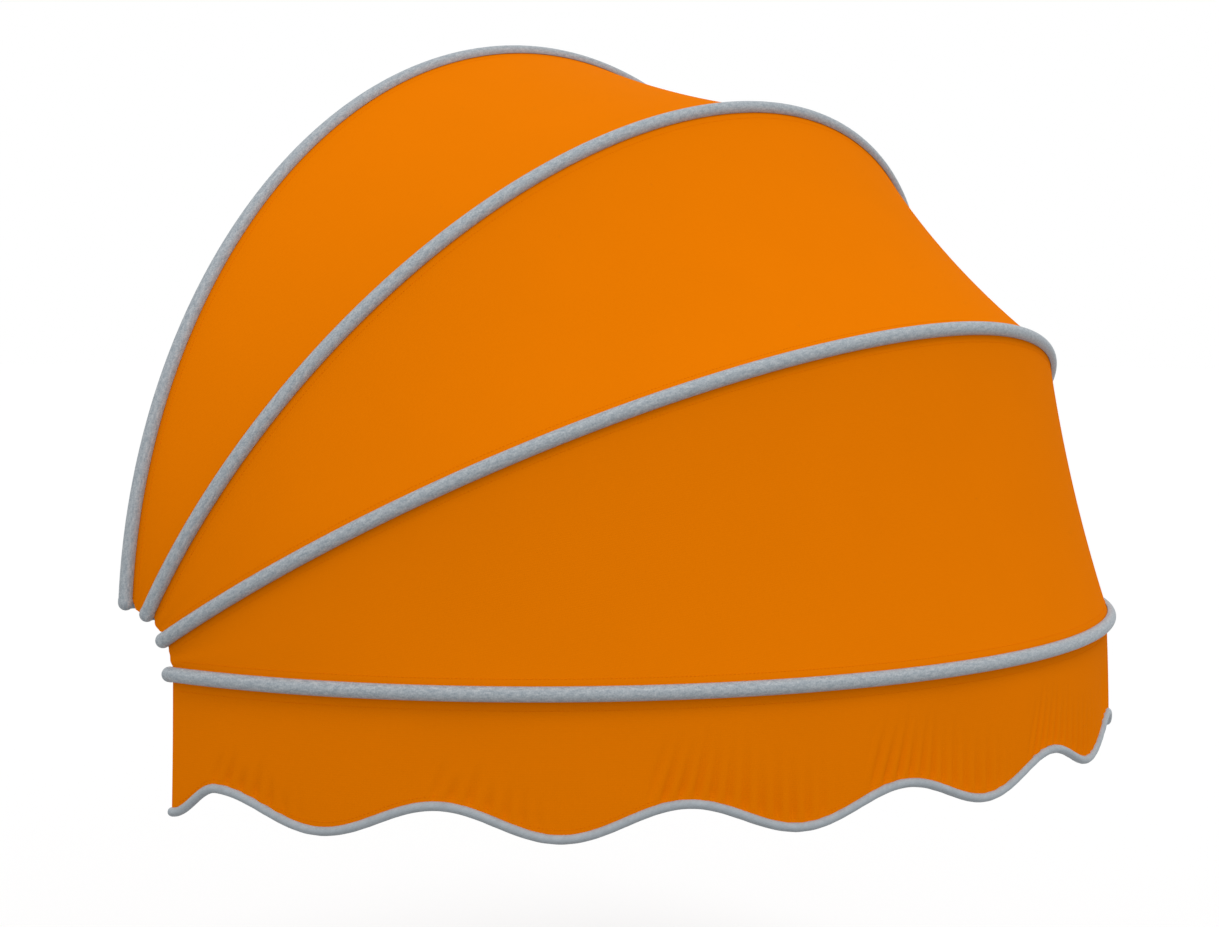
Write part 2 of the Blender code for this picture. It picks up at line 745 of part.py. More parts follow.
def valance():
    """The cloth that hangs from the front hoop's lower groove."""
    phis = cloth_phis(VALANCE_STEPS_PER_BEND)
    rows = groove_rows(phis, FRONT_HOOP, 1)
    hold = EDGING_RADIUS - EDGING_SLIT
    for i in range(1, VALANCE_ROWS + 1):
        row = []
        for phi in phis:
            hem = valance_edge(phi) + Vector((0, 0, hold - GAP))
            top = hoop_point(phi, hoop_angle(FRONT_HOOP))
            row.append(top.lerp(hem, i / VALANCE_ROWS))
        rows.append(row)
    return cloth_solid("valance", rows)


def valance_edging():
    """A round piping along the wavy edge, with a slit on top that holds the cloth."""
    phis = cloth_phis(VALANCE_STEPS_PER_BEND)
    half_slit = CLOTH / 2 + GAP
    lip = math.asin(half_slit / EDGING_RADIUS)
    section = [(half_slit, EDGING_RADIUS * math.cos(lip))]
    for i in range(1, EDGING_SIDES):
        a = math.pi / 2 - lip - (2 * math.pi - 2 * lip) * i / EDGING_SIDES
        section.append((EDGING_RADIUS * math.cos(a), EDGING_RADIUS * math.sin(a)))
    section.append((-half_slit, EDGING_RADIUS * math.cos(lip)))
    floor = EDGING_RADIUS - EDGING_SLIT - GAP
    section += [(-half_slit, floor - GAP), (half_slit, floor - GAP)]
    bm = bmesh.new()
    rings = []
    for phi in phis:
        out = hoop_outward(phi, hoop_angle(FRONT_HOOP))
        centre = valance_edge(phi)
        rings.append([centre + out * u + Vector((0, 0, v)) for u, v in section])
    made = skin(bm, rings)
    bm.faces.new(made[0])
    bm.faces.new(made[-1])
    return add_object("valance_edging", bm, "edging")


def build():
    clear_scene()
    tubes = [hoop_tube(step) for step in range(len(HOOP_NAMES))]
    for side, label in ((-1, "left"), (1, "right")):
        for step in range(1, len(HOOP_NAMES)):
            end_link(step, side, label)
            pivot_bolt(step, side, label)
            pivot_washer(step, side, label)
        corner_bracket(side, label)
        for step, tube in enumerate(tubes):
            tube_screw(step, side, label)
            combine(tube, [tube_screw_hole(step, side)], "DIFFERENCE")
        for spot, height in zip(flange_screw_spots(side), ("lower", "upper")):
            wall_screw(f"{label}_{height}", spot)
    for label, near in CLIP_ANGLES.items():
        phi = round(near / BEND) * BEND
        wall_clip(label, phi)
        clamp_screw(label, phi)
        combine(tubes[0], [clamp_hole(phi)], "DIFFERENCE")
        wall_screw(f"clip_{label}", clip_screw_spot(phi))
    for step in range(len(PANEL_NAMES)):
        panel(step)
    valance()
    valance_edging()


build()
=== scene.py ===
"""The looks of the folding canopy awning: tubes, sewn cloth, gathered valance and materials."""

import json
import math

import bmesh
import bpy
import numpy as np
from mathutils import Matrix, Vector

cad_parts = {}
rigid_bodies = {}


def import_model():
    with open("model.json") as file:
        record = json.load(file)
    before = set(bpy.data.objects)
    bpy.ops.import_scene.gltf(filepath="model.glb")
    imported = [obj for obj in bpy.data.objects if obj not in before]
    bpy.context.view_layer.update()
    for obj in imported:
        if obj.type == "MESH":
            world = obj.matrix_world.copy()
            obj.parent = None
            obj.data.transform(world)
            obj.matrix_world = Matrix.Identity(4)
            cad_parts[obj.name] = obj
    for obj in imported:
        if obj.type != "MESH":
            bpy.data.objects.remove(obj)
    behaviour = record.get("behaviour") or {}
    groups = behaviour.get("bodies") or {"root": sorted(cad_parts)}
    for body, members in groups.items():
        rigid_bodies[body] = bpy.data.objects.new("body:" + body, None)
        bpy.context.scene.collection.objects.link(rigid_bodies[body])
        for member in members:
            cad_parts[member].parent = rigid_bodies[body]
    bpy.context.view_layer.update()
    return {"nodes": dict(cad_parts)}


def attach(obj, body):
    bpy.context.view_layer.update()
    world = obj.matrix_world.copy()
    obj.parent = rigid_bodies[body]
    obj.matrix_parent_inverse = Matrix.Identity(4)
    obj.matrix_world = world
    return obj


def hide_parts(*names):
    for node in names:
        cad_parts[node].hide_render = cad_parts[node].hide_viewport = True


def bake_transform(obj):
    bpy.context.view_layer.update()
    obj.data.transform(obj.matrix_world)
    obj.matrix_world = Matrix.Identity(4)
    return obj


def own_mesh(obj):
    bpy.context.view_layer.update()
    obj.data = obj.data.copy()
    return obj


for ob in list(bpy.data.objects):
    bpy.data.objects.remove(ob, do_unlink=True)
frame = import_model()

# Sizes of the solids, in metres
HALF_WIDTH = 0.750
HOOP_RISE = 0.732
HOOP_OFFSET = 0.0235
END_REACH = 0.073
FAN_STEP = math.radians(30)
FAN_Y = -0.014
FAN_Z = -0.7335
TUBE_RADIUS = 0.0082
GROOVE_WIDTH = 0.0026
GROOVE_DEPTH = 0.0031
GROOVE_TILT = math.radians(28)
GAP = 0.0003
PHI_END = math.acos((END_REACH - HOOP_OFFSET) / HOOP_RISE)
FRONT_HOOP = 3
FRONT_ANGLE = FRONT_HOOP * FAN_STEP
FAN_CENTRE = Vector((0, FAN_Y, FAN_Z))
UP = np.array((0, 0, 1.0))

# Places at which a hoop's length is summed, also a little past both of its ends
PAST_END = 1.04
LENGTH_STEPS = 2081
PHI_STEPS = np.linspace(-PAST_END * PHI_END, PAST_END * PHI_END, LENGTH_STEPS)

BODIES = ("fixed_frame", "second_hoop", "third_hoop", "front_frame")
HOOPS = ("wall_hoop", "hoop_2", "hoop_3", "front_hoop")
PANELS = ("upper", "middle", "front")

# The tubes' round end caps
CAP_PROUD = 0.00035
CAP_CROWN = 0.0004
CAP_LENGTH = 0.0040
CAP_ROUNDING = 0.0003
CAP_LIP = 0.0001
CAP_SUNK = 0.0002

# Cloth
CLOTH = 0.0010
HEM_THICKNESS = 0.0012
HEM = 0.010
HEM_MOST = 0.3
HEM_STEP = 0.35
END_HEM = HEM * 0.8
PANEL_SAGS = (0.013, 0.018, 0.010)
PANEL_END_GAP = 0.001
PANEL_TABS = (0.0055, 0.0020, 0.0)
TAB_SHARE = 0.25
MOUTH = TUBE_RADIUS + CLOTH
GROOVE_FLOOR = TUBE_RADIUS - GROOVE_DEPTH + GAP
SLACK = 0.0006
NARROW_END = 0.10

# Stitches, and the small steps at which the cloth's slope under them is taken
SLOPE_SHARE = 0.004
SLOPE_PHI = 0.002
THREAD_RADIUS = 0.00022
STITCH = 0.0034
STITCH_PITCH = 0.0044
PANEL_SEAM_END = 0.016
PANEL_SEAM_SHARE = 0.72
VALANCE_SEAM_END = 0.012
TOP_SEAM = 0.010
BOTTOM_SEAM = 0.0066

# Valance
VALANCE_END = PHI_END - PANEL_END_GAP / HOOP_RISE
VALANCE_CREST = 0.1185
VALANCE_TROUGH = 0.152
SCALLOPS = 8
SCALLOP_ARC = math.radians(20.25)
PIPING_RADIUS = 0.0050
PIPING_HOLD = 0.0018
PIPING_UNEVEN = 0.015
VALANCE_SLACK = 0.0012
TOP_HEM_START = 0.0005

# Gathers above each crest of the wavy edge. A pair is the value near the valance's ends and what
# the middle adds to it. Before, after, rise, fall and fan run are shares of one wave.
GATHER_PITCH = 0.0185
GATHER_DEPTH = 0.0036
GATHER_DEEPER = 0.1
GATHER_SHORT = 1.0
GATHER_CHANGE = 0.35
GATHER_BEFORE = (0.06, 0.16)
GATHER_AFTER = (0.50, 0.26)
GATHER_RISE = 0.10
GATHER_FALL = 0.30
GATHER_FAN = 0.40
GATHER_FAN_RUN = 0.6
GATHER_UNEVEN = 0.8
GATHER_SHARPNESS = 3.0
GATHER_REACH = (0.046, 0.040)
GATHER_RAGGED = 0.010
SEWN_REACH = 0.010
SEWN_DEPTH = 0.35

# Offsets on the flat material, so that two pieces don't show the same stretch of it
CAP_LAY = 5
PANEL_LAY = 2.0
VALANCE_LAY = 8.0
PIPING_LAY = 12.0


# Frames along a hoop, for arrays of places phi

def unit(v):
    return v / np.linalg.norm(v, axis=-1, keepdims=True)


def place(x, reach, angle):
    """Points at a distance from the fan's axis, in a plane that leans out by an angle."""
    x, reach, angle = np.broadcast_arrays(x, reach, angle)
    return np.stack([x, FAN_Y - reach * np.sin(angle), FAN_Z + reach * np.cos(angle)], axis=-1)


def plane_normal(angle):
    """Square to a hoop's plane, towards the next hoop."""
    return np.array((0.0, -math.cos(angle), -math.sin(angle)))


def hoop_reach(phi):
    return HOOP_OFFSET + HOOP_RISE * np.cos(phi)


def hoop_point(phi, angle):
    return place(HALF_WIDTH * np.sin(phi), hoop_reach(phi), angle)


def hoop_tangent(phi, angle):
    along = -HOOP_RISE * np.sin(phi)
    across = HALF_WIDTH * np.cos(phi)
    return unit(np.stack([across, -along * math.sin(angle), along * math.cos(angle)], axis=-1))


def hoop_outward(phi, angle):
    return unit(np.cross(plane_normal(angle), hoop_tangent(phi, angle)))


def groove_direction(phi, angle, side):
    """From the tube's middle to a groove: side 1 faces the next hoop and -1 the one before."""
    out = hoop_outward(phi, angle)
    return side * math.cos(GROOVE_TILT) * plane_normal(angle) - math.sin(GROOVE_TILT) * out


def arc_length(phi):
    """Distance along a hoop from its middle to each phi, also a little past its ends."""
    speed = np.hypot(HALF_WIDTH * np.cos(PHI_STEPS), HOOP_RISE * np.sin(PHI_STEPS))
    run = np.concatenate([[0], np.cumsum((speed[1:] + speed[:-1]) / 2 * np.diff(PHI_STEPS))])
    return np.interp(phi, PHI_STEPS, run - run[-1] / 2)


def phi_at(length):
    """The phi of each distance along a hoop."""
    return np.interp(length, arc_length(PHI_STEPS), PHI_STEPS)


# Curves

def ease(share):
    """Goes smoothly from 0 to 1 and stays level beyond."""
    share = np.clip(share, 0, 1)
    return share * share * (3 - 2 * share)


def smooth_noise(values, seed, waves=6, low=1.0, high=6.0):
    """A smooth random curve between about -1 and 1, the same at each run."""
    draw = np.random.default_rng(seed)
    total = np.zeros_like(values, dtype=float)
    for _ in range(waves):
        total += np.sin(values * draw.uniform(low, high) + draw.uniform(0, 2 * math.pi))
    return total / math.sqrt(waves)


# Meshes

def make_object(name, verts, faces, lay=None, sharp=40):
    """A smooth shaded mesh; lay holds each vertex's place on the flat material, in metres."""
    mesh = bpy.data.meshes.new(name)
    mesh.from_pydata([tuple(v) for v in np.asarray(verts)], [], [tuple(map(int, f)) for f in faces])
    mesh.shade_smooth()
    mesh.set_sharp_from_angle(angle=math.radians(sharp))
    if lay is not None:
        attribute = mesh.attributes.new("lay", "FLOAT_VECTOR", "POINT")
        attribute.data.foreach_set("vector", np.asarray(lay, dtype=np.float32).ravel())
    ob = bpy.data.objects.new(name, mesh)
    bpy.context.scene.collection.objects.link(ob)
    return ob


def ring_faces(rings, sides, closed=True):
    """Faces between rings of verts, which are numbered ring by ring."""
    faces = []
    for i in range(rings - 1):
        for j in range(sides if closed else sides - 1):
            k = (j + 1) % sides
            faces.append((i * sides + j, i * sides + k, (i + 1) * sides + k, (i + 1) * sides + j))
    return faces


def capped(faces, rings, sides):
    """Adds a face over each end of a tube."""
    faces.append(tuple(reversed(range(sides))))
    faces.append(tuple(range((rings - 1) * sides, rings * sides)))
    return faces


def tube_section(sides, steps=44):
    """The tube's outline with its grooves, as (radius, angle); an angle of 0 faces outward."""
    centres = sorted(side * (math.pi / 2 + GROOVE_TILT) for side in sides)
    lip = math.asin(GROOVE_WIDTH / 2 / TUBE_RADIUS)
    floor_radius = TUBE_RADIUS - GROOVE_DEPTH
    floor = math.asin(GROOVE_WIDTH / 2 / floor_radius)
    outline = []
    for here, after in zip(centres, centres[1:] + [centres[0] + 2 * math.pi]):
        outline += [(TUBE_RADIUS, here - lip), (floor_radius, here - floor)]
        outline += [(floor_radius, here + floor), (TUBE_RADIUS, here + lip)]
        start = here + lip
        sweep = after - lip - start
        count = max(2, round(steps * sweep / (2 * math.pi)))
        outline += [(TUBE_RADIUS, start + sweep * i / count) for i in range(1, count)]
    return np.array(outline)


def hoop_tube(step, rings=241):
    """One bent tube with its grooves, finely stepped."""
    angle = step * FAN_STEP
    phis = phi_at(np.linspace(arc_length(-PHI_END), arc_length(PHI_END), rings))
    section = tube_section((1,) if step == 0 else (-1, 1))
    radius, turn = section[:, 0], section[:, 1]
    centre = hoop_point(phis, angle)[:, None, :]
    out = hoop_outward(phis, angle)[:, None, :]
    normal = plane_normal(angle)[None, None, :]
    spots = centre + radius[None, :, None] * (
        np.cos(turn)[None, :, None] * out + np.sin(turn)[None, :, None] * normal
    )
    sides = len(section)
    faces = capped(ring_faces(rings, sides), rings, sides)
    along = np.repeat(arc_length(phis), sides)
    around = np.tile(turn * TUBE_RADIUS, rings)
    lay = np.stack([along, around, np.full_like(along, step)], axis=-1)
    ob = make_object(f"{HOOPS[step]}_tube", spots.reshape(-1, 3), faces, lay)
    return fix_normals(ob)


def fix_normals(ob):
    """Turns a closed mesh's faces outward."""
    bm = bmesh.new()
    bm.from_mesh(ob.data)
    bmesh.ops.recalc_face_normals(bm, faces=bm.faces)
    bm.to_mesh(ob.data)
    bm.free()
    return ob


def end_cap(step, side, sides=40, rings=12):
    """The round end of a tube, a moulded cap with a fine lip over the tube."""
    angle = step * FAN_STEP
    phi = np.array([side * PHI_END])
    axis = (hoop_tangent(phi, angle) * side)[0]
    out = hoop_outward(phi, angle)[0]
    normal = plane_normal(angle)
    origin = hoop_point(phi, angle)[0]
    radius = TUBE_RADIUS + CAP_PROUD
    profile = [
        (-CAP_LENGTH, TUBE_RADIUS - CAP_SUNK),
        (-CAP_LENGTH, radius - CAP_LIP),
        (CAP_ROUNDING - CAP_LENGTH, radius),
        (0, radius),
    ]
    for i in range(1, rings):
        a = math.pi / 2 * i / rings
        profile.append(((radius + CAP_CROWN) * math.sin(a), radius * math.cos(a)))
    turn = 2 * math.pi * np.arange(sides) / sides
    rounds = np.cos(turn)[:, None] * out + np.sin(turn)[:, None] * normal
    verts = np.concatenate([origin + axis * along + rounds * r for along, r in profile])
    faces = capped(ring_faces(len(profile), sides), len(profile), sides)
    around = np.tile(turn * TUBE_RADIUS, len(profile))
    along = np.repeat([p[0] for p in profile], sides)
    lay = np.stack([along + side, around, np.full_like(along, step + CAP_LAY)], axis=-1)
    label = "left" if side < 0 else "right"
    return fix_normals(make_object(f"end_cap_{HOOPS[step]}_{label}", verts, faces, lay))


def sheet_object(name, grid, thickness, lay):
    """A closed sheet from a grid of points, with a thickness at each of them."""
    down = np.gradient(grid, axis=0)
    along = np.gradient(grid, axis=1)
    normal = unit(np.cross(along, down))
    rows, columns = grid.shape[:2]
    count = rows * columns
    half = (np.broadcast_to(thickness, (rows, columns)) / 2)[..., None]
    verts = np.concatenate([(grid + side * half).reshape(-1, 3) for side in (normal, -normal)])
    top = ring_faces(rows, columns, closed=False)
    bottom = [tuple(count + v for v in reversed(f)) for f in top]
    border = [(0, j) for j in range(columns)] + [(i, columns - 1) for i in range(1, rows)]
    border += [(rows - 1, j) for j in range(columns - 2, -1, -1)]
    border += [(i, 0) for i in range(rows - 2, 0, -1)]
    loop = [i * columns + j for i, j in border]
    rim = [(b, a, count + a, count + b) for a, b in zip(loop, loop[1:] + loop[:1])]
    both = np.concatenate([lay.reshape(-1, 3), lay.reshape(-1, 3) + np.array((0, 0, 1.0))])
    return fix_normals(make_object(name, verts, top + bottom + rim, both, sharp=50))


# Cloth panels

def panel_surface(step, phi, share):
    """The panel's middle surface and its free width, for arrays of phi and share."""
    low, high = step * FAN_STEP, (step + 1) * FAN_STEP
    middle = (low + high) / 2
    start = hoop_point(phi, low) + groove_direction(phi, low, 1) * MOUTH
    end = hoop_point(phi, high) + groove_direction(phi, high, -1) * MOUTH
    inward = -(place(0, 1, middle) - place(0, 0, middle))
    sag = PANEL_SAGS[step] * hoop_reach(phi) * 4 * share * (1 - share)
    spots = start + (end - start) * share[..., None] + inward * sag[..., None]
    return spots, np.linalg.norm(end - start, axis=-1)


def panel_width(step, phi):
    """The panel's free width between the two tubes."""
    return panel_surface(step, phi, np.zeros_like(phi))[1]


def hem_share(width):
    """How much of the panel's width one hem takes, which is limited where the panel is narrow."""
    return np.minimum(HEM / width, HEM_MOST)


def panel_grid(step, columns=261, hem_rows=7, middle_rows=16):
    """Points, thickness and flat places of a panel."""
    run = np.linspace(-1, 1, columns)
    base_phi = phi_at(run * arc_length(PHI_END))
    edge = hem_share(panel_width(step, base_phi))
    hem = np.linspace(0, 1, hem_rows)
    middle = np.linspace(0, 1, middle_rows + 1)[1:-1]
    shares = [edge * k for k in hem]
    shares += [edge + (1 - 2 * edge) * k for k in middle]
    shares += [1 - edge * k for k in hem[::-1]]
    shares = np.array(shares)
    grow = ease(np.minimum(shares, 1 - shares) / TAB_SHARE)
    end_gap = PANEL_END_GAP - (PANEL_END_GAP + PANEL_TABS[step]) * grow
    phi = base_phi[None, :] / PHI_END * (PHI_END - end_gap / HOOP_RISE)
    spots, free = panel_surface(step, phi, shares)
    spots += wrinkles(step, phi, shares)
    low, high = step * FAN_STEP, (step + 1) * FAN_STEP
    first = hoop_point(phi[0], low) + groove_direction(phi[0], low, 1) * GROOVE_FLOOR
    last = hoop_point(phi[-1], high) + groove_direction(phi[-1], high, -1) * GROOVE_FLOOR
    grid = np.concatenate([first[None], spots, last[None]])
    flat_u = arc_length(phi)
    flat_v = (shares - 0.5) * free
    lay = np.stack([flat_u, flat_v, np.full_like(flat_u, PANEL_LAY * step)], axis=-1)
    lay = np.concatenate([lay[:1], lay, lay[-1:]])
    from_edge = np.minimum(shares, 1 - shares) / edge
    thick = CLOTH + (HEM_THICKNESS - CLOTH) * np.clip((1.0 - from_edge) / HEM_STEP, 0, 1)
    end_run = (1 - np.abs(run)) * arc_length(PHI_END)
    thick = np.maximum(thick, np.where(end_run < END_HEM, HEM_THICKNESS, CLOTH)[None, :])
    thick[0] = CLOTH
    thick[-1] = CLOTH
    thick = np.concatenate([thick[:1], thick, thick[-1:]])
    return grid, thick, lay


def wrinkles(step, phi, shares):
    """Slight slack of the taut cloth: long waves along it and fine pulls near its narrow ends."""
    reach = hoop_reach(phi)
    angle = (step + 0.5) * FAN_STEP
    out = hoop_outward(phi, angle)
    hold = np.clip(4 * shares * (1 - shares), 0, 1)
    near_end = np.exp(-(reach - END_REACH) / NARROW_END)
    long_wave = smooth_noise(phi * 2.2 + step, seed=11 + step) * SLACK
    pulls = np.sin((shares + step) * 9 + phi * 3) * SLACK * near_end
    return out * ((long_wave + pulls) * hold)[..., None]


# Stitches

def stitch_starts(end):
    """Where the stitches of a row start along the hoop, from one end to the other."""
    half = arc_length(PHI_END) - end
    return -half + np.arange(int(2 * half / STITCH_PITCH)) * STITCH_PITCH


def stitches(name, starts, ends, out, radius=THREAD_RADIUS, sides=5):
    """Rows of sewn stitches, each a short thread that dips into the cloth at both ends."""
    starts, ends, out = np.concatenate(starts), np.concatenate(ends), np.concatenate(out)
    verts, faces, lay = [], [], []
    for n, (a, b, up) in enumerate(zip(starts, ends, out)):
        along = b - a
        length = np.linalg.norm(along)
        along = along / length
        across = np.cross(along, up)
        base = len(verts)
        verts.append(a - up * radius)
        for share in (0.2, 0.8):
            centre = a + (b - a) * share + up * radius * 0.4
            for i in range(sides):
                t = 2 * math.pi * i / sides
                verts.append(centre + radius * (math.cos(t) * up + math.sin(t) * across))
        verts.append(b - up * radius)
        for i in range(sides):
            j = (i + 1) % sides
            faces.append((base, base + 1 + i, base + 1 + j))
            faces.append((base + 1 + i, base + 1 + sides + i, base + 1 + sides + j, base + 1 + j))
            faces.append((base + 1 + 2 * sides, base + 1 + sides + j, base + 1 + sides + i))
        lay += [(n * 0.01, i * 0.001, 0) for i in range(2 * sides + 2)]
    return fix_normals(make_object(name, verts, faces, lay, sharp=180))


def panel_seams(step):
    """Stitch rows along both hems of a panel, on both faces."""
    starts = stitch_starts(PANEL_SEAM_END)
    firsts, lasts, ups = [], [], []
    for far_hem in (False, True):
        for face in (1, -1):
            points = []
            for offset in (0, STITCH):
                phi = phi_at(starts + offset)
                share = hem_share(panel_width(step, phi)) * PANEL_SEAM_SHARE
                share = 1 - share if far_hem else share
                spots, _ = panel_surface(step, phi, share)
                across, _ = panel_surface(step, phi, share + SLOPE_SHARE)
                along, _ = panel_surface(step, phi + SLOPE_PHI, share)
                out = unit(np.cross(along - spots, across - spots)) * face
                spots = spots + wrinkles(step, phi, share)
                points.append((spots + out * HEM_THICKNESS / 2, out))
            firsts.append(points[0][0])
            lasts.append(points[1][0])
            ups.append(points[0][1])
    return stitches(f"{PANELS[step]}_stitching", firsts, lasts, ups)


# Valance

def valance_drop(phi):
    """How far the wavy edge hangs below the front hoop."""
    edge = SCALLOPS / 2 * SCALLOP_ARC
    turn = 2 * math.pi * phi / SCALLOP_ARC
    turn = np.where(np.abs(phi) > edge, math.pi * (np.abs(phi) - edge) / (VALANCE_END - edge), turn)
    middle = (VALANCE_TROUGH + VALANCE_CREST) / 2
    return middle - (VALANCE_TROUGH - VALANCE_CREST) / 2 * np.cos(turn)


def gathers(phi, height):
    """Fine creases that fan out above each crest of the wavy edge, longer towards the middle."""
    grow = ease((GATHER_SHORT - np.abs(phi)) / GATHER_CHANGE)
    before = GATHER_BEFORE[0] + GATHER_BEFORE[1] * grow
    after = GATHER_AFTER[0] + GATHER_AFTER[1] * grow
    place_in_wave = np.mod(phi / SCALLOP_ARC + before, 1.0)
    envelope = ease(place_in_wave / GATHER_RISE)
    envelope = envelope * ease((before + after - place_in_wave) / GATHER_FALL)
    lean = GATHER_FAN * ease(1 - place_in_wave / GATHER_FAN_RUN)
    length = arc_length(phi) - lean * height
    uneven = smooth_noise(length * 9, seed=5) * GATHER_UNEVEN
    phase = length / GATHER_PITCH * 2 * math.pi + uneven
    crease = -np.power(np.abs(np.cos(phase / 2)), GATHER_SHARPNESS)
    reach = GATHER_REACH[0] + GATHER_REACH[1] * grow + GATHER_RAGGED * np.sin(length * 131.0)
    fade = ease(1 - height / reach) * (SEWN_DEPTH + (1 - SEWN_DEPTH) * ease(height / SEWN_REACH))
    return GATHER_DEPTH * (1 + GATHER_DEEPER * grow) * envelope * crease * fade


def valance_surface(phi, share):
    """The valance's middle surface and its length from hoop to edge."""
    centre = hoop_point(phi, FRONT_ANGLE)
    out = hoop_outward(phi, FRONT_ANGLE)
    mouth = centre + groove_direction(phi, FRONT_ANGLE, 1) * MOUTH
    drop = valance_drop(phi) - PIPING_RADIUS + PIPING_HOLD
    top_drop = MOUTH * math.cos(GROOVE_TILT)
    down = top_drop + (drop - top_drop) * share
    spots = centre - UP * down[..., None]
    spots = spots + (mouth + UP * top_drop - centre) * (1 - share)[..., None]
    slack = smooth_noise(phi * 5.0, seed=23) * VALANCE_SLACK * np.sin(math.pi * share * 0.9)
    push = gathers(phi, drop - down) + slack
    return spots + out * push[..., None], drop - top_drop


def valance_grid(columns=961, rows=26):
    """Points, thickness and flat places of the valance."""
    phi = phi_at(np.linspace(arc_length(-VALANCE_END), arc_length(VALANCE_END), columns))[None, :]
    share = np.linspace(0, 1, rows)[:, None] * np.ones_like(phi)
    phi = phi * np.ones_like(share)
    spots, length = valance_surface(phi, share)
    floor = groove_direction(phi[0], FRONT_ANGLE, 1) * GROOVE_FLOOR
    floor = hoop_point(phi[0], FRONT_ANGLE) + floor
    grid = np.concatenate([floor[None], spots])
    down = share * length
    lay = np.stack([arc_length(phi), down, np.full_like(share, VALANCE_LAY)], axis=-1)
    lay = np.concatenate([lay[:1], lay])
    end_run = arc_length(VALANCE_END) - np.abs(arc_length(phi))
    hem = (end_run < END_HEM) | ((down > TOP_HEM_START) & (down < HEM))
    thick = np.where(hem, HEM_THICKNESS, CLOTH)
    thick[0] = CLOTH
    thick = np.concatenate([thick[:1], thick])
    return grid, thick, lay


def valance_seams():
    """Stitch rows under the front hoop and above the piping, on both faces."""
    starts = stitch_starts(VALANCE_SEAM_END)
    firsts, lasts, ups = [], [], []
    for at_top in (True, False):
        thick = HEM_THICKNESS if at_top else CLOTH
        for face in (1, -1):
            points = []
            for offset in (0, STITCH):
                phi = phi_at(starts + offset)
                _, length = valance_surface(phi, np.zeros_like(phi))
                share = TOP_SEAM / length if at_top else 1 - BOTTOM_SEAM / length
                spots, _ = valance_surface(phi, share)
                out = hoop_outward(phi, FRONT_ANGLE) * face
                points.append(spots + out * thick / 2)
            firsts.append(points[0])
            lasts.append(points[1])
            ups.append(out)
    return stitches("valance_stitching", firsts, lasts, ups)


def valance_piping(rings=1101, sides=20, dome=7):
    """The round piping along the wavy edge, with closed round ends."""
    phi = phi_at(np.linspace(arc_length(-VALANCE_END), arc_length(VALANCE_END), rings))
    centre = hoop_point(phi, FRONT_ANGLE) - UP * valance_drop(phi)[:, None]
    tangent = unit(np.gradient(centre, axis=0))
    out = hoop_outward(phi, FRONT_ANGLE)
    up = unit(np.cross(out, tangent))
    out = unit(np.cross(tangent, up))
    length = np.concatenate([[0], np.cumsum(np.linalg.norm(np.diff(centre, axis=0), axis=1))])
    radius = PIPING_RADIUS * (1 + PIPING_UNEVEN * smooth_noise(length * 60, seed=31))
    turn = 2 * math.pi * np.arange(sides) / sides

    def ring(c, o, u, r):
        return c + r * (np.cos(turn)[:, None] * o + np.sin(turn)[:, None] * u)

    def cap(index, sign):
        made = []
        for i in range(1, dome):
            a = math.pi / 2 * i / dome
            at = centre[index] + tangent[index] * sign * math.sin(a) * PIPING_RADIUS
            made.append(ring(at, out[index], up[index], radius[index] * math.cos(a)))
        return made

    body = [ring(centre[i], out[i], up[i], radius[i]) for i in range(rings)]
    all_rings = cap(0, -1)[::-1] + body + cap(-1, 1)
    faces = capped(ring_faces(len(all_rings), sides), len(all_rings), sides)
    along = np.concatenate([[length[0]] * (dome - 1), length, [length[-1]] * (dome - 1)])
    along = np.repeat(along, sides)
    around = np.tile(turn * PIPING_RADIUS, len(all_rings))
    lay = np.stack([along, around, np.full_like(along, PIPING_LAY)], axis=-1)
    return fix_normals(make_object("valance_piping", np.concatenate(all_rings), faces, lay))


# Materials

